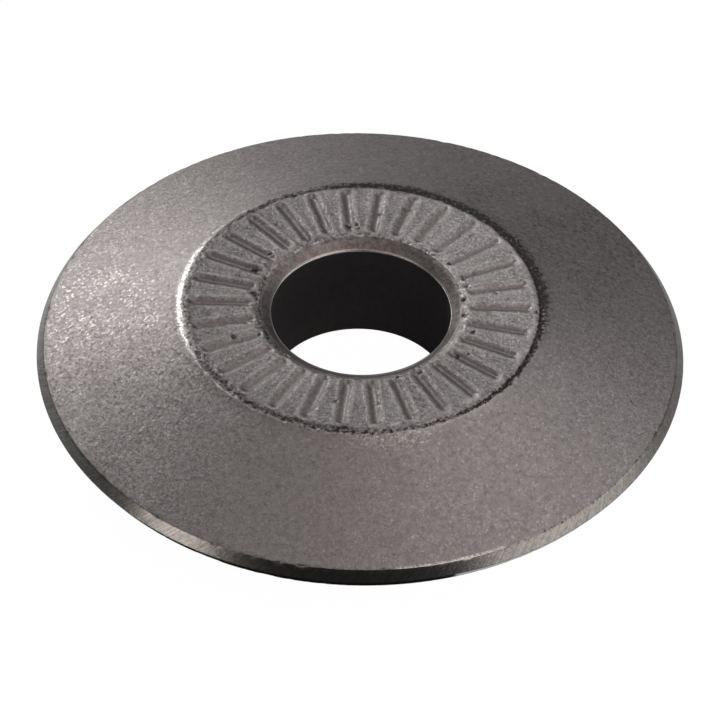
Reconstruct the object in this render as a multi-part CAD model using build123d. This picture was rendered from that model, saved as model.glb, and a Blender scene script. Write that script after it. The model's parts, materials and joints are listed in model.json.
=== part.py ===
# Carbide cutting wheel for a tile cutter, in millimetres.
#
# The wheel is one solid piece of sintered carbide, so it is built as one solid. Its axis is Z and its
# origin is the middle of the bore, half way between the two hub faces. It lies flat on its lower hub face.
# A turned section gives the bore, hub faces, shoulders, conical flanks and the ground cutting edge.
# A ring of plain sunk strokes is then pressed into the upper hub face.

import os
from math import radians, tan

from build123d import *

# Overall sizes
wheel_diameter = 22.0  # across the cutting edge
hub_width = 4.4  # between the two hub faces
bore_diameter = 6.1  # turns freely on a 6 mm axle

# Hub
hub_diameter = 12.12  # where the hub face and its shoulder would meet in a sharp corner
shoulder_drop = 0.14  # how far the shoulder falls before the flank starts
shoulder_slope = 30.0  # degrees below the hub face
shoulder_radius = 0.24  # rounding of the shoulder's upper corner

# Bore mouths
bore_chamfer_width = 0.42
bore_chamfer_depth = 0.35

# Ground cutting edge
grind_depth = 0.24  # radial depth of the two ground bevels
edge_angle = 114.0  # degrees between the two bevels

# Ring of sunk strokes on the upper hub face
mark_count = 30
mark_length = 2.15  # end to end, along the radius
mark_width = 0.40
mark_depth = 0.10
mark_draft = 35.0  # degrees that the walls lean out, so that the punch lets go
mark_bore_gap = 0.6  # from the bore's wall to the inner end of each stroke

# Sizes that follow from the ones above
wheel_radius = wheel_diameter / 2
bore_radius = bore_diameter / 2
hub_radius = hub_diameter / 2
face_height = hub_width / 2
grind_root_radius = wheel_radius - grind_depth
grind_root_height = grind_depth * tan(radians(edge_angle / 2))
shoulder_run = shoulder_drop / tan(radians(shoulder_slope))
flank_top_radius = hub_radius + shoulder_run
flank_top_height = face_height - shoulder_drop


def half_section():
    """The upper half of the turned section, right of the axis and closed along the middle plane."""
    corners = [
        (bore_radius, 0),
        (bore_radius, face_height - bore_chamfer_depth),
        (bore_radius + bore_chamfer_width, face_height),
        (hub_radius, face_height),
        (flank_top_radius, flank_top_height),
        (grind_root_radius, grind_root_height),
        (wheel_radius, 0),
    ]
    with BuildSketch(Plane.XZ) as section:
        with BuildLine():
            Polyline(*corners, close=True)
        make_face()
        hub_corner = section.vertices().sort_by_distance((hub_radius, face_height))[0]
        fillet(hub_corner, shoulder_radius)
    return section.sketch


def turned_body():
    """The wheel without its strokes: the half section spun about the axis and mirrored below."""
    upper = revolve(half_section(), axis=Axis.Z)
    return upper + mirror(upper, about=Plane.XY)


def mark_cutter():
    """One stroke along +X: a slot with round ends that narrows towards its floor."""
    centre_radius = bore_radius + mark_bore_gap + mark_length / 2
    outline = Pos(centre_radius, 0, face_height) * SlotOverall(mark_length, mark_width)
    return extrude(outline, amount=mark_depth, dir=(0, 0, -1), taper=mark_draft)


def cutting_wheel():
    """The finished wheel, with the strokes spaced evenly around the upper hub face."""
    cutters = PolarLocations(0, mark_count) * mark_cutter()
    return turned_body() - cutters


wheel = cutting_wheel()
os.makedirs("parts", exist_ok=True)
export_step(wheel, "parts/cutting_wheel.step")
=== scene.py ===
# %% [markdown]
# A carbide cutting wheel, the small scoring wheel of a tile cutter. It is one piece of sintered carbide, 22 mm
# across: a flat hub round a plain bore, conical flanks that were blasted grey, and a narrow ground edge.
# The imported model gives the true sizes. This script dresses it: one finely modelled mesh stands for the solid,
# with six finishes on it, and a pale floor and soft lamps show it.

# %% The frame and its sizes
import json
from math import acos, atan2, cos, hypot, pi, radians, sin, tan
from random import Random

import bmesh
import bpy
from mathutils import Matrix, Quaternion, Vector, kdtree, noise


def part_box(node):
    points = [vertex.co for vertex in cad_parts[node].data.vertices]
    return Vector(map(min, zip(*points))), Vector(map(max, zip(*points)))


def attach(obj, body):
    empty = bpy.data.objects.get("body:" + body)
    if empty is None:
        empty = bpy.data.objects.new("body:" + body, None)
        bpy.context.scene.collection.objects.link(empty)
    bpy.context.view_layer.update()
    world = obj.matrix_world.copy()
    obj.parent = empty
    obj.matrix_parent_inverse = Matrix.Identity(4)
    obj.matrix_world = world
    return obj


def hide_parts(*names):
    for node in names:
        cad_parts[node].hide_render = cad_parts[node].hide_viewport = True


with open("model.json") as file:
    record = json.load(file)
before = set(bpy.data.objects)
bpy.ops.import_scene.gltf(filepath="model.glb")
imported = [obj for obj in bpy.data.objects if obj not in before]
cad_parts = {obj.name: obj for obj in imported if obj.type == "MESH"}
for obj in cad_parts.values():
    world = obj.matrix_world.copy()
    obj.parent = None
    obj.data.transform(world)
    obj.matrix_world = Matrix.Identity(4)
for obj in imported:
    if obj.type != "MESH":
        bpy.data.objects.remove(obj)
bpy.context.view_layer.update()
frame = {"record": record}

MM = 0.001
lowest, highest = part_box("cutting_wheel")
wheel_radius = min(highest.x, highest.y, -lowest.x, -lowest.y)
face_height = highest.z
bore_dims = next(m["dims"] for m in frame["record"]["mounts"] if m["name"] == "bore")
bore_radius = bore_dims["r_mm"] * MM
wall_top = bore_dims["length_mm"] * MM / 2
print("wheel radius %.2f mm, half width %.2f mm" % (wheel_radius / MM, face_height / MM))
print("bore radius %.3f mm, wall up to %.2f mm" % (bore_radius / MM, wall_top / MM))

# %% [markdown]
# The camera comes first, because every later choice is judged through it. The photograph was taken with a long
# lens from 44 degrees above the table, turned by a little more than a degree. The camera looks at a point just
# below the middle of the wheel, so no lens shift is needed.

# %% The camera
IMAGE_SIZE = 720  # pixels along each side
FOCAL_PIXELS = 6049  # distance to the image plane, in those pixels
CAMERA_DISTANCE = 205.75 * MM
CAMERA_ELEVATION = radians(43.62)
CAMERA_ROLL = radians(1.22)
CENTRE_ABOVE_MIDDLE = 8.9  # pixels from the image's middle up to the wheel's centre


def make_camera():
    data = bpy.data.cameras.new("long_lens")
    data.sensor_width = 36
    data.lens = FOCAL_PIXELS / IMAGE_SIZE * data.sensor_width
    data.clip_start = 10 * MM
    data.clip_end = 10
    camera = bpy.data.objects.new("long_lens", data)
    bpy.context.scene.collection.objects.link(camera)
    back = Vector((0, -cos(CAMERA_ELEVATION), sin(CAMERA_ELEVATION)))
    up = Vector((0, sin(CAMERA_ELEVATION), cos(CAMERA_ELEVATION)))
    camera.location = back * CAMERA_DISTANCE
    aim = up * (-CENTRE_ABOVE_MIDDLE / FOCAL_PIXELS * CAMERA_DISTANCE)
    look = (aim - camera.location).to_track_quat("-Z", "Y")
    camera.rotation_mode = "QUATERNION"
    camera.rotation_quaternion = look @ Quaternion((0, 0, 1), CAMERA_ROLL)
    bpy.context.scene.camera = camera
    return camera


camera = make_camera()
print("lens %.0f mm, %.0f mm away" % (camera.data.lens, CAMERA_DISTANCE / MM))

# %% [markdown]
# The wheel is a turned shape, so it starts as a section in the plane of the axis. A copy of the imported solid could
# be dressed instead, but its triangles are long and uneven, and a carved face needs small even squares. So the
# section's corners are listed afresh, from the same sizes. Each has its own rounding: the hub's shoulder is round,
# the mouths of the bore are nearly sharp, and the cutting edge is keen. Two of the points lie on straight runs, on
# the wall of the bore and on the flank, and only mark where the divisions change.

# %% The section's corners
hub_radius = 6.06 * MM
shoulder_drop = 0.14 * MM
shoulder_slope = radians(30)
shoulder_run = shoulder_drop / tan(shoulder_slope)
mouth_width = 0.42 * MM
mouth_radius = bore_radius + mouth_width
grind_depth = 0.24 * MM
edge_angle = radians(114)  # between the two ground bevels
bevel_slope = tan(edge_angle / 2)
grind_root_height = grind_depth * bevel_slope
keen_width = 0.02 * MM  # the last strip of each bevel, beside the keen edge
flank_top_radius = hub_radius + shoulder_run
flank_top_height = face_height - shoulder_drop
grind_root_radius = wheel_radius - grind_depth
flank_fall = (flank_top_height - grind_root_height) / (grind_root_radius - flank_top_radius)
border_width = 0.16 * MM  # a strip of flank along the ground edge, which is divided finely

upper_corners = [
    # radius, height, how far the corner is cut back to round it
    (bore_radius, wall_top - 0.12 * MM, 0.02 * MM),
    (bore_radius, wall_top, 0.04 * MM),
    (mouth_radius, face_height, 0.02 * MM),
    (hub_radius, face_height, 0.06 * MM),
    (flank_top_radius, flank_top_height, 0.08 * MM),
    (grind_root_radius - border_width, grind_root_height + border_width * flank_fall, 0.03 * MM),
    (grind_root_radius, grind_root_height, 0.015 * MM),
    (wheel_radius - keen_width, keen_width * bevel_slope, 0.004 * MM),
]
edge_corner = (wheel_radius, 0, 0.008 * MM)
print("section corners:", 2 * len(upper_corners) + 1)

# %% [markdown]
# The section becomes a wire: one vertex at each corner, joined in a ring by edges, with the lower half mirrored from
# the upper one. A bevel rounds each vertex, and then the edges are divided. Every division runs all round the wheel
# and costs 1,200 triangles, so they are close only where something is carved: on the upper hub face and along the
# ground edge. The flanks are almost straight and need few.

# %% The section as a wire
CORNER_SEGMENTS = 3
FINE_PITCH = 0.052 * MM  # on the upper hub face, its shoulder and the bore's mouth
BEVEL_PITCH = 0.09 * MM  # on the ground bevels
BORDER_PITCH = 0.05 * MM  # on the strips of flank beside them
UPPER_PITCH = 0.32 * MM  # on the upper flank
LOWER_PITCH = 0.9 * MM  # on the lower side and the wall of the bore
fine_end = hub_radius + 0.5 * MM
MARGIN = 0.01 * MM  # a point this close to a border counts as on it


def pitch_at(point):
    """How closely an edge of the section is divided, by where its middle lies."""
    if point.x > grind_root_radius - MARGIN:
        return BEVEL_PITCH
    if point.x > grind_root_radius - border_width:
        return BORDER_PITCH
    if point.z <= 0 or point.x < bore_radius + MARGIN / 10:
        return LOWER_PITCH
    return FINE_PITCH if point.x < fine_end else UPPER_PITCH


def section_wire():
    """The closed section with its corners rounded and its edges divided."""
    lower = [(r, -z, cut) for r, z, cut in reversed(upper_corners)]
    corners = upper_corners + [edge_corner] + lower
    wire = bmesh.new()
    points = [wire.verts.new((r, 0, z)) for r, z, _ in corners]
    for i, point in enumerate(points):
        wire.edges.new((point, points[(i + 1) % len(points)]))
    for point, (_, _, cut) in zip(points, corners):
        bmesh.ops.bevel(wire, geom=[point], offset=cut, segments=CORNER_SEGMENTS, profile=0.5,
                        affect="VERTICES", material=-1)
    for edge in list(wire.edges):
        middle = (edge.verts[0].co + edge.verts[1].co) / 2
        cuts = int(edge.calc_length() / pitch_at(middle))
        if cuts:
            bmesh.ops.subdivide_edges(wire, edges=[edge], cuts=cuts)
    return wire


wheel_mesh = section_wire()
print("points along the section:", len(wheel_mesh.verts))

# %% [markdown]
# A spin turns the section into the wheel, as a lathe would. A Screw modifier could do the same, but the mesh is
# carved next, so it is made now. The wire is a closed loop that never touches the axis, so the result is a closed
# ring of squares. One spin of 600 steps is slow, so a first spin makes a thirtieth of the ring, a second one copies
# it round, and the seams are merged.

# %% The turned wheel
SECTORS = 30
STEPS_A_SECTOR = 20
MERGE_DISTANCE = 0.0005 * MM


def turn_section(mesh):
    """Spins the wire into one sector, copies the sector round the axis and closes the ring."""
    spin = {"cent": (0, 0, 0), "axis": (0, 0, 1), "dvec": (0, 0, 0), "use_merge": False}
    bmesh.ops.spin(mesh, geom=mesh.verts[:] + mesh.edges[:], angle=2 * pi / SECTORS, steps=STEPS_A_SECTOR, **spin)
    bmesh.ops.spin(mesh, geom=mesh.verts[:] + mesh.edges[:] + mesh.faces[:], angle=2 * pi, steps=SECTORS,
                   use_duplicate=True, **spin)
    bmesh.ops.remove_doubles(mesh, verts=mesh.verts, dist=MERGE_DISTANCE)
    bmesh.ops.recalc_face_normals(mesh, faces=mesh.faces)


turn_section(wheel_mesh)
print("faces:", len(wheel_mesh.faces), "open edges:", sum(not e.is_manifold for e in wheel_mesh.edges))

# %% [markdown]
# Six surfaces of the wheel look different, because different work made them. The flanks were blasted. The hub faces
# are as they came from the furnace, but the shoulders round them and the mouths of the bore are smoother, from the
# die. The bore's wall is dark, and the edge was ground. Each face gets the number of its finish now, while the shape
# is still exact and radii are easy to read.

# %% Which finish each face gets
BLASTED, SINTERED, SHOULDER, MOUTH, BORE, GROUND = range(6)


def finish_of(middle):
    """The number of the finish of a face, by where its middle lies."""
    radius = hypot(middle.x, middle.y)
    height = abs(middle.z)
    if radius > grind_root_radius - MARGIN / 2:
        return GROUND
    if height < wall_top - MARGIN and radius < bore_radius + MARGIN:
        return BORE
    if radius < mouth_radius:
        return MOUTH
    if radius < hub_radius - 2 * MARGIN:
        return SINTERED
    return SHOULDER if radius < flank_top_radius + 3 * MARGIN else BLASTED


for face in wheel_mesh.faces:
    face.material_index = finish_of(face.calc_center_median())
    face.smooth = True
print("faces of each finish:", [sum(f.material_index == i for f in wheel_mesh.faces) for i in range(6)])

# %% [markdown]
# The hub face carries a ring of plain sunk strokes. A punch pressed them into soft powder before the wheel was
# sintered, so each has leaning walls, a rounded floor and a slightly raised lip. Cutting them with booleans would
# leave knife-sharp edges. Instead each point of the dense hub face is lowered or raised by its distance from the
# nearest stroke's middle line, and a little noise keeps any two strokes from being quite the same.

# %% Helpers for carving
def smooth_step(low, high, value):
    """0 below low, 1 above high, and an S-shaped ramp between."""
    t = min(1.0, max(0.0, (value - low) / (high - low)))
    return t * t * (3 - 2 * t)


def uneven(point, grain, seed=0.0):
    """Smooth noise from about -1 to 1 that changes over the size of one grain."""
    return noise.noise(point / grain + Vector((seed, 2 * seed, 3 * seed)))


def side_share(point, side, low, high):
    """1 where the wheel faces a side, and 0 away from it. Seen by the camera, side 0 is the right, 90 the back,
    180 the left and 270 the front. Low and high are the cosines of the angles off that side where the share ends
    and where it is whole."""
    return smooth_step(low, high, cos(atan2(point.y, point.x) - radians(side)))


def near(value, middle, inner, outer):
    """1 where a value is within the inner distance of the middle, 0 beyond the outer one."""
    return 1 - smooth_step(inner, outer, abs(value - middle))


print("helpers for carving are ready")

# %% The sunk strokes
STROKE_COUNT = 30
stroke_length = 2.15 * MM
stroke_width = 0.40 * MM
stroke_depth = 0.095 * MM
stroke_gap = 0.6 * MM  # from the wall of the bore to its inner end
stroke_start = bore_radius + stroke_gap + stroke_width / 2  # both ends of its middle line
stroke_end = stroke_start + stroke_length - stroke_width
stroke_floor = 0.03 * MM  # half the width of its floor
stroke_wobble = 0.022 * MM  # how far its outline strays
lip_width = 0.17 * MM
lip_height = 0.025 * MM


def stroke_shape(point):
    """How far the nearest stroke sinks a point of the hub face, from 0 to 1, and how far its lip raises it."""
    pitch = 2 * pi / STROKE_COUNT
    radius = hypot(point.x, point.y)
    turn = (atan2(point.y, point.x) + pitch / 2) % pitch - pitch / 2
    along = radius * cos(turn)
    across = radius * sin(turn)
    beyond = max(stroke_start - along, 0, along - stroke_end)
    away = hypot(beyond, across) + stroke_wobble * uneven(point, 0.16 * MM)
    sunk = 1 - smooth_step(stroke_floor, stroke_width / 2, away)
    lip = smooth_step(0, 1, 1 - abs(away - stroke_width / 2 - lip_width / 2) / (lip_width / 2))
    return sunk, lip * (1 + uneven(point, 0.3 * MM, 5)) / 2


print("middle line of a stroke from %.2f to %.2f mm" % (stroke_start / MM, stroke_end / MM))

# %% [markdown]
# Round the hub face runs a crumbly seam, where the punch met the die: a broken groove just inside the shoulder. At
# the back and the right a wide soft dark band lies outside it, partly soot and partly painted shade on the side of
# the shoulder turned from the light, and loose crumbs lie beside it at the left and in front. The mouth of the bore
# has a ragged border too, and is worn down a little, most of all at the front. The grooves and the wear are carved,
# while the dark band and the crumbs are only marks.

# %% The crumbly seams
seam_radius = 6.03 * MM
seam_offset = 0.08 * MM  # the punch was off centre by this much
seam_offset_side = radians(300)
seam_half_width = 0.07 * MM
seam_depth = 0.06 * MM
rim_radius = mouth_radius + 0.05 * MM
rim_half_width = 0.10 * MM
rim_depth = 0.05 * MM
groove_wander = 0.05 * MM  # how far a groove strays from its circle
mouth_wear = 0.03 * MM  # how far the mouth is worn down all round
front_wear = 0.055 * MM  # how much further it is worn down at the front
front_tilt = 0.05  # how much steeper it is there, as a slope


def broken_groove(point, centre, half_width, seed):
    """How deep a broken groove along a circle is at a point, from 0 to 1: it wanders, comes and goes."""
    wander = groove_wander * (uneven(point, 0.4 * MM, seed) + uneven(point, 0.12 * MM, seed + 3))
    away = abs(hypot(point.x, point.y) - centre - wander)
    broken = 0.95 + 0.6 * uneven(point, 0.25 * MM, seed + 1) + 0.5 * uneven(point, 0.1 * MM, seed + 2)
    return min(1.0, max(0.0, broken)) * (1 - smooth_step(0, 2 * half_width, away))


def seam_line(point):
    """The radius at which the seam runs past a point."""
    return seam_radius + seam_offset * cos(atan2(point.y, point.x) - seam_offset_side)


def seam_dent(point):
    """The seam's groove, which is shallow at the left, where the shoulder is worn."""
    return broken_groove(point, seam_line(point), seam_half_width, 20) * (1 - 0.55 * side_share(point, 168, 0.8, 0.97))


def mouth_dip(point):
    """How far the bore's mouth is worn down, which is most at the front."""
    inwards = mouth_radius - hypot(point.x, point.y)
    inside = 1 - smooth_step(-0.05 * MM, 0.22 * MM, -inwards)
    steeper = front_tilt * max(0.0, inwards) * side_share(point, 270, 0.6, 0.97)
    return inside * (mouth_wear + front_wear * side_share(point, 270, 0.0, 0.8)) + steeper


def rim_dent(point):
    """The broken border of the bore's mouth, which is worst at the left."""
    share = 0.25 + 0.3 * side_share(point, 90, 0.4, 0.8) + 0.6 * side_share(point, 190, 0.75, 0.95)
    return broken_groove(point, rim_radius, rim_half_width, 30) * share


def soot_and_shade_at(point):
    """How dark the shoulder is made: a wide band at the back and right, partly soot and partly painted shade, and a
    thin faint one in front.
    """
    beyond = hypot(point.x, point.y) - seam_line(point)
    # Painted shade: the back and right of the shoulder, turned from the light, are made darker.
    soot_and_shade = side_share(point, 24, -0.05, 0.6)
    wide = side_share(point, 49, 0.35, 0.9)
    thin = (1 - soot_and_shade) * (1 - side_share(point, 176, 0.6, 0.95))
    ragged = (0.06 + 0.09 * wide) * uneven(point, 0.11 * MM, 22) + 0.05 * uneven(point, 0.5 * MM, 23)
    reach = (0.15 + 0.29 * wide + ragged) * MM
    band = smooth_step(-0.10 * MM, -0.04 * MM, beyond) * (1 - smooth_step(0.1 * reach, 1.6 * reach, beyond))
    return (1.2 * soot_and_shade + 0.8 * thin) * band * (1 + 0.2 * uneven(point, 0.12 * MM, 24))


def crumbs_at(point):
    """Loose dark crumbs beside the seam, inside it at the left and over it at the front left."""
    beyond = hypot(point.x, point.y) - seam_radius
    inner = 0.6 * side_share(point, 182, 0.4, 0.9) * near(beyond, -0.12 * MM, 0.05 * MM, 0.30 * MM)
    outer = 0.68 * side_share(point, 240, 0.68, 0.93) * near(beyond, 0.0, 0.06 * MM, 0.24 * MM)
    return max(inner, outer * (1 + 0.5 * uneven(point, 0.3 * MM, 25)))


print("seam at a radius of %.2f mm, border of the mouth at %.2f mm" % (seam_radius / MM, rim_radius / MM))

# %% [markdown]
# Pressed powder never fills the die quite evenly, so pits stay open in the face. Noise alone would spread them
# evenly, so they are thrown with dice instead: most are small, and half of them fall close to the two borders of the
# face. The dice have a fixed seed, so every run gives the same wheel. A few larger chips are placed one by one, each
# by its side in degrees and its radius in millimetres, mostly by the mouth of the bore.

# %% Scattered pits and chips
PIT_COUNT = 110
pit_ring_start = mouth_radius + 0.02 * MM
pit_ring_end = hub_radius - 0.12 * MM
smallest_pit = 0.035 * MM
largest_pit = 0.14 * MM
CROWDING = 6  # the power that draws a pit towards a border
chips = [(172, 3.72), (169, 3.86), (199, 3.66), (204, 3.72), (195, 3.95), (155, 4.02), (302, 3.77), (16, 3.72)]
chip_size = 0.11 * MM


def scatter_pits():
    """Pits over the hub face, as a searchable tree and their sizes. Most are small, and half crowd at the borders."""
    dice = Random(11)
    tree = kdtree.KDTree(PIT_COUNT + len(chips))
    sizes = []
    for i in range(PIT_COUNT):
        share = dice.random()
        if i % 2:
            share = share**CROWDING if i % 6 != 1 else 1 - share**CROWDING
        radius = pit_ring_start + share * (pit_ring_end - pit_ring_start)
        angle = dice.uniform(0, 2 * pi)
        tree.insert((radius * cos(angle), radius * sin(angle), 0), i)
        sizes.append(smallest_pit + (largest_pit - smallest_pit) * dice.random()**2)
    for side, radius in chips:
        tree.insert((radius * MM * cos(radians(side)), radius * MM * sin(radians(side)), 0), len(sizes))
        sizes.append(chip_size * dice.uniform(0.7, 1.3))
    tree.balance()
    return tree, sizes


pit_tree, pit_sizes = scatter_pits()


def pit_dent(point):
    """How deep the nearest pit is at a point, in metres. Its outline is ragged."""
    _, i, away = pit_tree.find((point.x, point.y, 0))
    away += 0.05 * MM * uneven(point, 0.09 * MM, 9)
    return 0.5 * pit_sizes[i] * (1 - smooth_step(0.3 * pit_sizes[i], pit_sizes[i], away))


print("pits and chips:", len(pit_sizes))

# %% [markdown]
# Now every point of the upper hub face is moved. The face is carved from a little below its true height, so that
# lips and grains stand up to that height and not above it. Each point also keeps three marks for the finishes to
# read. Where it is pitted the finish turns dark, as real pits do, and the same mark holds the soot band with its
# painted shade. Where the punch pressed it the grain is smoother. Where it is worn the bare metal shines, on the rims
# and the lips, and the front of the mouth and a band by the hub's edge at the right are made paler too. The same mark
# paints highlights: a pale strip on the left of the shoulder, a glint at its front right and sparkle just beyond it.

# %% Carving the upper hub face
FACE_ALLOWANCE = 0.025 * MM
carving_end = hub_radius + 0.6 * MM
DARK_PIT = 0.05 * MM  # a pit this deep is fully dark
pits_soot_and_shade = wheel_mesh.verts.layers.float.new("pits_soot_and_shade")
pressed = wheel_mesh.verts.layers.float.new("pressed")
worn = wheel_mesh.verts.layers.float.new("worn")


def wear_and_highlight_at(point, lip):
    """How pale a point is made, by worn rims and lips, paler stretches, and painted highlights on the shoulder and
    just beyond it. The lip is how far the nearest stroke's lip raises it.
    """
    radius = hypot(point.x, point.y)
    bore_edge = near(radius, bore_radius, 0.02 * MM, 0.06 * MM)
    mouth_edge = 0.7 * near(radius, mouth_radius, 0.02 * MM, 0.06 * MM)
    mouth_edge *= smooth_step(0.0, 0.5, uneven(point, 0.25 * MM, 40))
    mouth_front = 0.7 * side_share(point, 270, 0.4, 0.95) * (1 - smooth_step(-0.08 * MM, 0.0, radius - mouth_radius))
    hub_edge = 0.8 * near(radius, hub_radius - 0.2 * MM, 0.04 * MM, 0.14 * MM) * side_share(point, 340, 0.0, 0.8)
    hub_edge *= smooth_step(-0.2, 0.5, uneven(point, 0.3 * MM, 41))
    # Painted highlight: a pale strip on the left of the shoulder, where the light glances.
    shoulder = near(radius, hub_radius + 0.06 * MM, 0.03 * MM, 0.26 * MM) * side_share(point, 174, 0.68, 0.97)
    shoulder *= (0.55 + 0.35 * side_share(point, 200, 0.6, 0.85)) * (1 + 0.4 * uneven(point, 0.14 * MM, 42))
    # Painted glint on the shoulder at the front right.
    glint = 0.75 * near(radius, hub_radius + 0.17 * MM, 0.03 * MM, 0.07 * MM) * side_share(point, 300, 0.86, 0.97)
    # Painted sparkle just beyond the shoulder, in front.
    specks = 0.5 * near(radius, hub_radius + 0.4 * MM, 0.1 * MM, 0.3 * MM) * side_share(point, 280, 0.95, 0.995)
    return min(1.0, max(bore_edge, mouth_edge, mouth_front, hub_edge, shoulder, glint, specks, 0.45 * lip))


def carve_hub(mesh):
    """Moves the points of the upper hub face up or down, and counts them."""
    moved = 0
    for vertex in mesh.verts:
        point = vertex.co.copy()
        radius = hypot(point.x, point.y)
        if point.z < wall_top - 2 * MARGIN or radius > carving_end:
            continue
        on_face = smooth_step(face_height - 0.1 * MM, face_height - 0.02 * MM, point.z)
        seam, rim, pit = seam_dent(point), rim_dent(point), on_face * pit_dent(point)
        dent = seam_depth * seam + rim_depth * rim + pit + mouth_dip(point)
        sunk, lip = stroke_shape(point)
        grain = 0.012 * MM * uneven(point, 0.35 * MM, 3) + 0.006 * MM * uneven(point, 0.12 * MM, 4)
        lift = lip_height * lip - stroke_depth * sunk + grain * (1 - sunk) - FACE_ALLOWANCE
        vertex.co.z = min(face_height, point.z + on_face * lift - dent)
        # The dark mark holds pits, grooves, crumbs and the soot band with its painted shade.
        vertex[pits_soot_and_shade] = max(min(1.0, pit / DARK_PIT), seam, rim, crumbs_at(point), soot_and_shade_at(point))
        vertex[pressed] = on_face * sunk
        vertex[worn] = wear_and_highlight_at(point, on_face * lip)
        moved += 1
    return moved


print("points moved on the hub face:", carve_hub(wheel_mesh))

# %% [markdown]
# The flank is not a perfect cone either: blasting leaves it slightly wavy. The ground edge meets it along a border
# that is chipped in places, because carbide is brittle, and a short stretch of it in front gets a painted glint. At
# the left of the flank, and faintly in front, the tips of some grains are painted bright, a painted sparkle where the
# light glances. Two other stretches are stained by a wash of dark specks. The hub face is made darker everywhere but
# at its right, and most at its outer left, and a fourth mark keeps how strong that darkening and the stains are. The
# waves and chips are noise, read at each point, and the painted, stained and darkened stretches are set by side.

# %% Waves and chips
chip_reach = 0.10 * MM
chip_depth = 0.05 * MM
wave_height = 0.004 * MM
painted_sparkle_left = 0.26  # how far grain tips are painted bright at the left of the flank, a painted sparkle
painted_sparkle_front = 0.12  # and in front
stains = [(40, 75), (212, 50)]  # the middle of each and how far it reaches either way, in degrees
darkened = wheel_mesh.verts.layers.float.new("darkened")


def darkening_at(point):
    """How far a point is darkened, from 0 to about 1."""
    turn = atan2(point.y, point.x)
    outwards = (hypot(point.x, point.y) - mouth_radius) / (hub_radius - mouth_radius)
    if outwards < 1:
        # On the hub face: darker everywhere but at its right, and most at its outer left.
        lighter_right = 0.5 * side_share(point, 18, 0.45, 0.95)
        darker_outer_left = 0.35 * outwards * side_share(point, 190, 0.0, 0.8)
        return 0.58 - lighter_right + darker_outer_left + 0.15 * uneven(point, 1.2 * MM, 71)
    spread = [1 - smooth_step(0, 1, acos(cos(turn - radians(middle))) / radians(reach)) for middle, reach in stains]
    return max(spread) * (0.75 + 0.5 * uneven(point, 1.5 * MM, 70))


def wear_flank(mesh):
    """Makes the flanks wavy, chips the border of the ground edge, and marks stains, darkening, and painted sparkle and
    glints.
    """
    mesh.normal_update()
    for vertex in mesh.verts:
        point = vertex.co.copy()
        radius = hypot(point.x, point.y)
        vertex[darkened] = min(1.0, max(0.0, darkening_at(point)))
        if radius > carving_end and point.z > 0:
            # Painted sparkle: grain tips made bright at the left of the flank and faintly in front.
            left = painted_sparkle_left * side_share(point, 175, 0.945, 0.99)
            vertex[worn] = max(left, painted_sparkle_front * side_share(point, 300, 0.85, 0.98))
        if hub_radius + 0.3 * MM < radius < grind_root_radius - 0.3 * MM:
            vertex.co -= vertex.normal * wave_height * (1 + uneven(point, 1.4 * MM, 50))
        border = abs(radius - grind_root_radius)
        if border < chip_reach and abs(point.z) > 0.3 * MM:
            chip = max(0.0, uneven(point, 0.3 * MM, 60) - 0.15) * (1 - border / chip_reach)
            vertex.co -= vertex.normal * chip_depth * chip
            crumbs = 0.3 + 0.25 * side_share(point, 300, 0.3, 0.8) + 0.3 * uneven(point, 0.25 * MM, 61)
            vertex[pits_soot_and_shade] = min(1.0, max(2.5 * chip, crumbs * (1 - border / chip_reach)))
            # A painted glint along the border of the ground edge, in front.
            corner = near(radius, grind_root_radius - 0.03 * MM, 0.02 * MM, 0.06 * MM)
            corner *= 1 + 0.5 * uneven(point, 0.3 * MM, 62)
            vertex[worn] = min(1.0, corner * side_share(point, 287, 0.975, 0.993))


wear_flank(wheel_mesh)
print("flank worn")

# %% [markdown]
# The mesh is finished, so it becomes an object, at the origin. It rides on the one body and stands in for the solid.

# %% The wheel as an object
def make_wheel(mesh):
    """The finished mesh as a piece of the part."""
    data = bpy.data.meshes.new("carbide_wheel")
    mesh.to_mesh(data)
    mesh.free()
    wheel = bpy.data.objects.new("carbide_wheel", data)
    bpy.context.scene.collection.objects.link(wheel)
    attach(wheel, "root")
    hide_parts("cutting_wheel")
    return wheel


wheel = make_wheel(wheel_mesh)
print("triangles:", sum(len(p.vertices) - 2 for p in wheel.data.polygons))

# %% [markdown]
# The finishes come next. A picture of real grain could be wrapped round the wheel, but it would show seams and blur
# close up. Noise in object coordinates has neither fault, so each finish is a node material built from it. Object
# coordinates are metres here, so a noise scale of 10,000 gives grains a tenth of a millimetre wide. A few helpers
# keep the node trees short.

# %% Helpers for materials
def new_finish(name, metallic, roughness):
    """A material with its shader, and the coordinates of the piece."""
    material = bpy.data.materials.new(name)
    material.use_nodes = True
    shader = material.node_tree.nodes["Principled BSDF"]
    shader.inputs["Metallic"].default_value = metallic
    shader.inputs["Roughness"].default_value = roughness
    place = material.node_tree.nodes.new("ShaderNodeTexCoord").outputs["Object"]
    return material, shader, place


def join(tree, value, socket):
    """Links a socket to another, or sets a plain value on it."""
    if isinstance(value, bpy.types.NodeSocket):
        tree.links.new(value, socket)
    else:
        socket.default_value = value


def grains(place, per_metre, detail=2.0, roughness=0.5):
    """Noise from 0 to 1 with so many grains to the metre."""
    tree = place.id_data
    node = tree.nodes.new("ShaderNodeTexNoise")
    node.inputs["Scale"].default_value = per_metre
    node.inputs["Detail"].default_value = detail
    node.inputs["Roughness"].default_value = roughness
    tree.links.new(place, node.inputs["Vector"])
    return node.outputs["Fac"]


def facets(place, per_metre):
    """Three random values from 0 to 1 on each of many small facets, so many to the metre."""
    tree = place.id_data
    node = tree.nodes.new("ShaderNodeTexVoronoi")
    node.inputs["Scale"].default_value = per_metre
    tree.links.new(place, node.inputs["Vector"])
    return node.outputs["Color"]


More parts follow.
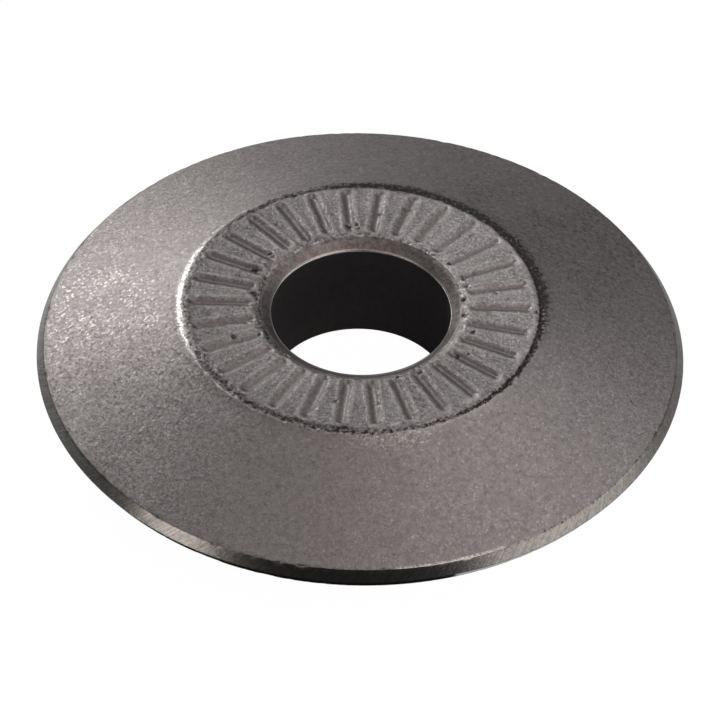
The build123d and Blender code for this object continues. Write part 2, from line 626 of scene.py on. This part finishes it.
def remap(value, low, high, bottom=0.0, top=1.0):
    """Stretches the span from low to high over bottom to top."""
    tree = value.id_data
    node = tree.nodes.new("ShaderNodeMapRange")
    tree.links.new(value, node.inputs["Value"])
    for name, number in (("From Min", low), ("From Max", high), ("To Min", bottom), ("To Max", top)):
        node.inputs[name].default_value = number
    return node.outputs["Result"]


def combine(operation, first, second):
    """A sum, product, maximum or minimum of two values."""
    tree = first.id_data
    node = tree.nodes.new("ShaderNodeMath")
    node.operation = operation
    join(tree, first, node.inputs[0])
    join(tree, second, node.inputs[1])
    return node.outputs["Value"]


def blend_colours(share, first, second):
    """The first colour where the share is 0, the second where it is 1, and a blend between."""
    tree = share.id_data
    node = tree.nodes.new("ShaderNodeMix")
    node.data_type = "RGBA"
    tree.links.new(share, node.inputs["Factor"])
    join(tree, first, node.inputs["A"])
    join(tree, second, node.inputs["B"])
    return node.outputs["Result"]


def rough_up(shader, height, distance, strength=1.0):
    """Bump on a shader, from a height of 0 to 1 that stands for so many metres."""
    tree = shader.id_data
    node = tree.nodes.new("ShaderNodeBump")
    node.inputs["Distance"].default_value = distance
    node.inputs["Strength"].default_value = strength
    tree.links.new(height, node.inputs["Height"])
    tree.links.new(node.outputs["Normal"], shader.inputs["Normal"])
    return node


def lean_facets(shader, bump, facet, amount):
    """Leans each facet its own way, so that it shines or stays dark as a whole."""
    tree = shader.id_data
    lean = tree.nodes.new("ShaderNodeVectorMath")
    lean.operation = "MULTIPLY_ADD"
    lean.inputs[1].default_value = (amount, amount, amount)
    lean.inputs[2].default_value = (-amount / 2, -amount / 2, -amount / 2)
    tree.links.new(facet, lean.inputs[0])
    leaning = tree.nodes.new("ShaderNodeVectorMath")
    tree.links.new(bump.outputs["Normal"], leaning.inputs[0])
    tree.links.new(lean.outputs["Vector"], leaning.inputs[1])
    unit = tree.nodes.new("ShaderNodeVectorMath")
    unit.operation = "NORMALIZE"
    tree.links.new(leaning.outputs["Vector"], unit.inputs[0])
    tree.links.new(unit.outputs["Vector"], shader.inputs["Normal"])


def mark(place, name):
    """One of the marks that the carving left on the mesh: pits with soot and painted shade, pressed strokes, wear with
    painted highlights, or darkening.
    """
    node = place.id_data.nodes.new("ShaderNodeAttribute")
    node.attribute_name = name
    return node.outputs["Fac"]


def pits(place):
    """Where the pits and the soot are, with the painted shade on the shoulder. Fine noise frays them, so a shallow pit
    shows as loose dark specks.
    """
    fray = remap(grains(place, 8000, 4, 0.75), 0.3, 0.7, -0.65, 0.65)
    return remap(combine("ADD", mark(place, "pits_soot_and_shade"), fray), 0.4, 1.05)


def bare_metal_and_highlight(place):
    """Where the metal is worn bare or a highlight is painted, broken up by fine noise."""
    fray = remap(grains(place, 8000, 3, 0.7), 0.3, 0.7, -0.45, 0.45)
    return remap(combine("ADD", mark(place, "worn"), fray), 0.45, 0.8)


print("helpers for materials are ready")

# %% [markdown]
# Blasting broke the flanks into many small facets. Each leans its own way, so some mirror a lamp and sparkle while
# the next ones stay dark. Plain bump would only look soft here, so Voronoi cells tilt the normal and each cell shines
# as a whole. Dark specks, sparks, bare metal and soot are laid over that, with painted sparkle on bright grain tips
# and painted highlights where the worn mark asks, and painted shade in the soot on the shoulder. The shoulders get
# the same finish a little smoother.

# %% The blasted finish of the flanks
dark_grain = (0.241, 0.217, 0.215, 1)
pale_grain = (0.329, 0.300, 0.298, 1)
brown_tone = (0.303, 0.266, 0.262, 1)
speck_colour = (0.11, 0.096, 0.093, 1)
spark_colour = (0.405, 0.376, 0.369, 1)
# Bare worn metal, and the painted highlights, sparkle and glints.
bare_and_highlight_colour = (0.54, 0.505, 0.49, 1)
# Soot, and the painted shade on the shoulder turned from the light.
soot_and_shade_colour = (0.050, 0.043, 0.042, 1)


def blasted_finish(name, roughness, spark_roughness, bare_roughness, grain_height):
    """Fine sparkling grain, with one roughness for most of it, one for its sparks and one for bare metal."""
    material, shader, place = new_finish(name, 0.9, roughness)
    tree = material.node_tree
    mottle = remap(grains(place, 5000, 3, 0.6), 0.36, 0.64)
    colour = blend_colours(mottle, dark_grain, pale_grain)
    tone = remap(grains(place, 1300, 3, 0.6), 0.35, 0.65, 0.0, 0.5)
    colour = blend_colours(tone, colour, brown_tone)
    wash = remap(mark(place, "darkened"), 0.0, 1.0, -0.03, 0.09)
    specks = remap(combine("ADD", grains(place, 6500, 5, 0.8), wash), 0.53, 0.68, 0.0, 0.8)
    colour = blend_colours(specks, colour, speck_colour)
    crowd = remap(grains(place, 1500, 4, 0.7), 0.35, 0.65, 0.0, 0.2)
    spark = remap(combine("ADD", facets(place, 15500), crowd), 0.79, 1.12)
    colour = blend_colours(spark, colour, spark_colour)
    # Painted sparkle: grain tips turn bright where the worn mark asks, at the left of the flank and in front.
    tip = remap(combine("ADD", facets(place, 14000), crowd), 0.87, 0.97)
    tips = combine("MULTIPLY", tip, remap(mark(place, "worn"), 0.06, 0.26, 0.0, 0.7))
    # Bare metal, and painted highlights on the shoulder, from the worn mark.
    shine = combine("MAXIMUM", bare_metal_and_highlight(place), tips)
    colour = blend_colours(shine, colour, bare_and_highlight_colour)
    # Pits, chips, crumbs and soot, and on the shoulder painted shade turned from the light.
    soot_and_shade = pits(place)
    colour = blend_colours(soot_and_shade, colour, soot_and_shade_colour)
    tree.links.new(colour, shader.inputs["Base Color"])
    finish = remap(spark, 0.0, 1.0, roughness, spark_roughness)
    finish = combine("MINIMUM", finish, remap(shine, 0.0, 1.0, roughness, bare_roughness))
    tree.links.new(combine("MAXIMUM", finish, remap(soot_and_shade, 0.0, 1.0, 0.0, 0.75)), shader.inputs["Roughness"])
    bump = rough_up(shader, grains(place, 12500, 3, 0.7), grain_height)
    lean_facets(shader, bump, facets(place, 17500), 0.14)
    return material


blasted_flank = blasted_finish("blasted_flank", 0.48, 0.31, 0.26, 0.013 * MM)
burnished_shoulder = blasted_finish("burnished_shoulder", 0.40, 0.25, 0.25, 0.015 * MM)
print("made", blasted_flank.name, "and", burnished_shoulder.name)

# %% [markdown]
# The hub faces keep the coarse grain of the pressed powder, with dark gaps between the grains. It is browner and
# smoother in the strokes, paler where it is worn and where a highlight is painted by the shoulder, darker everywhere
# but at its right, and darker in its pits and in the soot, which holds painted shade. Those could be painted on a map
# of the face, but the marks from the carving already say where each of them is, so the nodes read the marks.

# %% The sintered finish of the hub faces
dark_powder = (0.255, 0.229, 0.228, 1)
pale_powder = (0.342, 0.309, 0.308, 1)
powder_grain = (0.50, 0.461, 0.460, 1)
# The hub's darker tone, away from its right side.
hub_dark_tone = (0.11, 0.097, 0.095, 1)
gap_colour = (0.075, 0.065, 0.063, 1)
# Worn rims and lips, and the painted highlight at the left of the shoulder.
worn_and_highlight_colour = (0.52, 0.475, 0.465, 1)
stroke_colour = (0.178, 0.154, 0.150, 1)
pit_colour = (0.030, 0.026, 0.025, 1)


def sintered_finish():
    """Coarse grey grain, smoother and browner where the strokes were pressed, darker where the darkening mark says."""
    material, shader, place = new_finish("sintered_hub", 0.8, 0.5)
    tree = material.node_tree
    cloud = remap(grains(place, 1300, 3), 0.35, 0.65)
    colour = blend_colours(cloud, dark_powder, pale_powder)
    grain = remap(grains(place, 10500, 3, 0.7), 0.45, 0.64)
    colour = blend_colours(grain, colour, powder_grain)
    # Darker everywhere on the hub but at its right.
    darkness = mark(place, "darkened")
    colour = blend_colours(remap(darkness, 0.0, 1.0, 0.0, 0.6), colour, hub_dark_tone)
    crowd = combine("ADD", remap(grains(place, 1600, 3), 0.35, 0.65, -0.10, 0.02), remap(darkness, 0.0, 1.0, -0.02, 0.06))
    gap = remap(combine("ADD", grains(place, 8500, 3, 0.7), crowd), 0.52, 0.68, 0.0, 0.8)
    colour = blend_colours(gap, colour, gap_colour)
    colour = blend_colours(mark(place, "worn"), colour, worn_and_highlight_colour)
    smooth = mark(place, "pressed")
    colour = blend_colours(remap(smooth, 0.0, 1.0, 0.0, 0.75), colour, stroke_colour)
    # Pits and grooves, and near the seam soot with painted shade.
    colour = blend_colours(pits(place), colour, pit_colour)
    tree.links.new(colour, shader.inputs["Base Color"])
    tree.links.new(remap(grain, 0.0, 1.0, 0.50, 0.32), shader.inputs["Roughness"])
    bump = rough_up(shader, grains(place, 9000, 3, 0.7), 0.036 * MM)
    tree.links.new(remap(smooth, 0.0, 1.0, 1.0, 0.35), bump.inputs["Strength"])
    return material


sintered_hub = sintered_finish()
print("made", sintered_hub.name)

# %% [markdown]
# The die left the bore and its mouths smooth. The mouths are brown-grey, with rims worn bright. The wall of the bore
# is nearly black, and it doesn't mirror the white floor, so it gets a dark colour and not a polish. One function
# makes both, because they differ only in colour, roughness and grain.

# %% The smooth finish of the bore and its mouths
bright_rim = (0.50, 0.46, 0.45, 1)
mouth_pit = (0.035, 0.030, 0.029, 1)
worn_roughness = 0.2


def smooth_finish(name, dark, pale, roughness, grain_height):
    """Smoother carbide, which was pressed by the die, with bare metal at worn rims."""
    material, shader, place = new_finish(name, 0.85, roughness)
    tree = material.node_tree
    cloud = remap(grains(place, 4500, 5, 0.8), 0.38, 0.62)
    colour = blend_colours(cloud, dark, pale)
    colour = blend_colours(mark(place, "worn"), colour, bright_rim)
    colour = blend_colours(pits(place), colour, mouth_pit)
    tree.links.new(colour, shader.inputs["Base Color"])
    tree.links.new(remap(mark(place, "worn"), 0.0, 1.0, roughness, worn_roughness), shader.inputs["Roughness"])
    bump = rough_up(shader, grains(place, 9000, 3, 0.6), grain_height)
    tree.links.new(remap(mark(place, "worn"), 0.0, 1.0, 1.0, 0.2), bump.inputs["Strength"])
    return material


smooth_mouth = smooth_finish("smooth_mouth", (0.12, 0.104, 0.100, 1), (0.25, 0.220, 0.213, 1), 0.42, 0.022 * MM)
dark_bore = smooth_finish("dark_bore", (0.078, 0.073, 0.075, 1), (0.094, 0.088, 0.091, 1), 0.6, 0.0)
print("made", smooth_mouth.name, "and", dark_bore.name)

# %% [markdown]
# The grinding wheel left fine lines across the cutting edge. A stretched picture or a wave pattern would look too
# regular, so they are noise that hardly changes along each line: it is read on a circle round the axis, which turns
# a little with height, so that the lines slant. Crumbs, pits and bright metal are laid over them, and the bright
# metal along the border in front is a painted glint.

# %% The ground finish of the edge
dark_line = (0.237, 0.224, 0.221, 1)
pale_line = (0.405, 0.388, 0.380, 1)
crumb_colour = (0.157, 0.140, 0.134, 1)
chip_colour = (0.07, 0.056, 0.050, 1)
LINES = 160  # the scale of the noise round the whole edge
LINE_SLANT = -100.0  # radians that the lines turn about the axis for each metre of height


def ground_finish():
    """Ground metal with fine slanting lines."""
    material, shader, place = new_finish("ground_carbide", 1.0, 0.25)
    tree = material.node_tree
    flat = tree.nodes.new("ShaderNodeVectorMath")
    flat.operation = "MULTIPLY"
    flat.inputs[1].default_value = (1, 1, 0)
    tree.links.new(place, flat.inputs[0])
    ring = tree.nodes.new("ShaderNodeVectorMath")
    ring.operation = "NORMALIZE"
    tree.links.new(flat.outputs["Vector"], ring.inputs[0])
    parts = tree.nodes.new("ShaderNodeSeparateXYZ")
    tree.links.new(place, parts.inputs["Vector"])
    lean = combine("MULTIPLY", parts.outputs["Z"], LINE_SLANT)
    slant = tree.nodes.new("ShaderNodeVectorRotate")
    slant.rotation_type = "Z_AXIS"
    tree.links.new(ring.outputs["Vector"], slant.inputs["Vector"])
    tree.links.new(lean, slant.inputs["Angle"])
    lines = grains(slant.outputs["Vector"], LINES, 3, 0.7)
    colour = blend_colours(remap(lines, 0.35, 0.62), dark_line, pale_line)
    crumbs = remap(grains(place, 6000, 5, 0.8), 0.46, 0.62, 0.0, 0.6)
    colour = blend_colours(crumbs, colour, crumb_colour)
    colour = blend_colours(pits(place), colour, chip_colour)
    # Bright metal: along the border in front, a painted glint.
    colour = blend_colours(bare_metal_and_highlight(place), colour, bare_and_highlight_colour)
    tree.links.new(colour, shader.inputs["Base Color"])
    rough_up(shader, combine("ADD", combine("MULTIPLY", lines, 0.5), grains(place, 9000, 3, 0.7)), 0.003 * MM)
    return material


ground_carbide = ground_finish()
print("made", ground_carbide.name)

# %% [markdown]
# The wheel takes its six finishes in the order of their numbers, so that each face finds its own.

# %% Giving the finishes to the wheel
for finish in (blasted_flank, sintered_hub, burnished_shoulder, smooth_mouth, dark_bore, ground_carbide):
    wheel.data.materials.append(finish)
print("finishes:", [m.name for m in wheel.data.materials])

# %% [markdown]
# The stage is a pale floor just under the wheel. A plain lit floor would be grey and uneven, and a glowing one would
# show no shadow and light the wheel from below. So the camera and reflections see it mostly white, and the rest of
# its brightness comes from the lamps, which keeps the wheel's faint shadow on it.

# %% The floor
FLOOR_SIZE = 4.0
floor_colour = (0.88, 0.88, 0.88, 1)
WHITE_SHARE = 0.97  # how much of the floor, as seen, is plain white and not lit by the lamps
WHITE_GLOW = 1.02
FLOOR_GAP = 0.01 * MM  # between the floor and the hub face, so that the two never mix in a picture


def make_quad(name, corners):
    """A flat sheet through its corners, marked as part of the stage."""
    mesh = bmesh.new()
    mesh.faces.new([mesh.verts.new(corner) for corner in corners])
    data = bpy.data.meshes.new(name)
    mesh.to_mesh(data)
    mesh.free()
    sheet = bpy.data.objects.new(name, data)
    bpy.context.scene.collection.objects.link(sheet)
    return sheet


def floor_finish():
    """White to the camera and in reflections, and plain pale grey to the lamps."""
    material = bpy.data.materials.new("pale_floor")
    material.use_nodes = True
    tree = material.node_tree
    tree.nodes.remove(tree.nodes["Principled BSDF"])
    output = tree.nodes["Material Output"]
    diffuse = tree.nodes.new("ShaderNodeBsdfDiffuse")
    diffuse.inputs["Color"].default_value = floor_colour
    white = tree.nodes.new("ShaderNodeEmission")
    white.inputs["Strength"].default_value = WHITE_GLOW
    path = tree.nodes.new("ShaderNodeLightPath")
    seen = combine("ADD", path.outputs["Is Camera Ray"], path.outputs["Is Glossy Ray"])
    seen = combine("ADD", seen, path.outputs["Is Transmission Ray"])
    mix = tree.nodes.new("ShaderNodeMixShader")
    tree.links.new(combine("MULTIPLY", combine("MINIMUM", seen, 1.0), WHITE_SHARE), mix.inputs[0])
    tree.links.new(diffuse.outputs["BSDF"], mix.inputs[1])
    tree.links.new(white.outputs["Emission"], mix.inputs[2])
    tree.links.new(mix.outputs["Shader"], output.inputs["Surface"])
    return material


half = FLOOR_SIZE / 2
floor_height = lowest.z - FLOOR_GAP
floor = make_quad("floor", [(-half, -half, floor_height), (half, -half, floor_height), (half, half, floor_height),
                            (-half, half, floor_height)])
floor.data.materials.append(floor_finish())
print("floor %.0f m wide at %.2f mm" % (FLOOR_SIZE, floor_height / MM))

# %% [markdown]
# Metal shows what is around it, so a photographer lights it with large soft panels and sets cards for it to mirror. A
# grey mat lies round the wheel here. Black cards stand in front, where the ground edge would mirror the white floor.
# The black card under the wheel is a painted shadow: it lies where the wheel's shadow falls on the floor, and is left
# open below the bore and at the right. A pale card at the front right glows, though it is no lamp, and paints a
# paler reflection in the edge there, and a pale card at the left lifts the edge. The camera does not see any of them,
# but reflections do. Where two of different shades overlap, one lies a few thousandths of a millimetre above the
# other and hides it.

# %% The mat and the cards
def card_finish(name, shade, glow=0.0):
    """Dull card of one shade of grey, which may glow a little."""
    material = bpy.data.materials.new(name)
    material.use_nodes = True
    shader = material.node_tree.nodes["Principled BSDF"]
    shader.inputs["Base Color"].default_value = (shade, shade, shade, 1)
    shader.inputs["Roughness"].default_value = 0.9
    shader.inputs["Emission Color"].default_value = (1, 1, 1, 1)
    shader.inputs["Emission Strength"].default_value = glow
    return material


def reflected_card(name, corners, finish):
    """A sheet through its corners, given in millimetres, that only reflections see."""
    card = make_quad(name, [Vector(c) * MM for c in corners])
    card.data.materials.append(finish)
    card.visible_camera = card.visible_shadow = card.visible_diffuse = False
    return card


ARC_STEPS = 40


def arc(radius, start, end, height):
    """Corners along an arc about the axis, from one angle to another in degrees."""
    turns = [radians(start + (end - start) * i / ARC_STEPS) for i in range(ARC_STEPS + 1)]
    return [(radius * cos(turn), radius * sin(turn), height) for turn in turns]


black = card_finish("black_card", 0.01)
table = lowest.z / MM
reflected_card("grey_mat", arc(250, 0, 360, table + 0.005), card_finish("grey_card", 0.5))
# A glowing card, no lamp: a painted reflection in the lower edge at the front right.
reflected_card("glowing_reflection_card", arc(13, 240, 360, table + 0.01), card_finish("glowing_reflection_card", 0.2, 0.6))
# Painted shadow: a black card where the wheel's shadow falls on the floor, seen only in reflections.
reflected_card("painted_shadow_card", arc(12.5, 72, 288, table + 0.02) + arc(3.05, 324, 36, table + 0.02), black)
reflected_card("front_card_flat", [(-50, -60, table + 0.02), (50, -60, table + 0.02), (22, -10, table + 0.02),
                                   (-22, -10, table + 0.02)], black)
reflected_card("front_card_upright", [(-40, -60, table), (36, -60, table), (36, -60, 45), (-40, -60, 45)], black)
reflected_card("left_white_card", [(-17, 2, table + 0.03), (-12.4, 2, table + 0.03), (-10.2, 7.5, table + 0.03),
                                   (-14, 11, table + 0.03)], card_finish("white_card", 0.9))
print("cards placed")

# %% [markdown]
# The lamps are flat panels of light at one distance from the wheel. A sky picture could light it too, but panels
# can be set one by one: the key at the back makes the left flank bright, and the warm ones in front give the front
# its brown cast. Each is given by its direction, its size and how bright its surface looks, and its power follows
# from that.

# %% The lamps
LAMP_DISTANCE = 150 * MM


def soft_panel(name, azimuth, elevation, width, height, brightness, tint=(1, 1, 1)):
    """A panel of light in a direction in degrees, counted from +X to +Y and up from the floor."""
    data = bpy.data.lights.new(name, "AREA")
    data.shape = "RECTANGLE"
    data.size = width
    data.size_y = height
    data.energy = brightness * pi * width * height
    data.color = tint
    panel = bpy.data.objects.new(name, data)
    bpy.context.scene.collection.objects.link(panel)
    turn, rise = radians(azimuth), radians(elevation)
    direction = Vector((cos(turn) * cos(rise), sin(turn) * cos(rise), sin(rise)))
    panel.location = direction * LAMP_DISTANCE
    panel.rotation_euler = direction.to_track_quat("Z", "Y").to_euler()
    panel.visible_camera = False
    return panel


soft_panel("key_panel", 119, 29, 72 * MM, 109 * MM, 2.15, (0.985, 1.0, 0.985))
soft_panel("key_spot", 121, 30, 24 * MM, 24 * MM, 12, (0.985, 1.0, 0.985))
soft_panel("back_top_panel", 80, 57, 75 * MM, 75 * MM, 1.22, (0.90, 0.95, 1.0))
soft_panel("right_top_panel", 15, 52, 107 * MM, 121 * MM, 0.96, (0.975, 0.985, 1.0))
soft_panel("front_right_panel", 315, 52, 107 * MM, 121 * MM, 1.35, (1.0, 0.925, 0.845))
soft_panel("front_left_panel", 232, 50, 107 * MM, 110 * MM, 0.54, (1.0, 0.96, 0.925))
soft_panel("left_panel", 150, 30, 72 * MM, 109 * MM, 0.4)
soft_panel("right_strip", 341, 13, 176 * MM, 62 * MM, 1.2, (1.0, 0.955, 0.90))
soft_panel("left_strip", 213, 15, 62 * MM, 37 * MM, 2.0, (1.0, 0.945, 0.87))

# %% [markdown]
# What no lamp reaches is lit by the room itself. One even dark grey stands for it, which keeps shadows from going
# black. Colours are shown as they are, with no film curve over them, so that the white floor stays white.

# %% The room around
ROOM_SHADE = 0.085
world = bpy.data.worlds.new("studio")
world.use_nodes = True
background = world.node_tree.nodes["Background"]
background.inputs["Color"].default_value = (ROOM_SHADE, ROOM_SHADE, ROOM_SHADE, 1)
bpy.context.scene.world = world
bpy.context.scene.view_settings.view_transform = "Standard"
print("view transform:", bpy.context.scene.view_settings.view_transform)
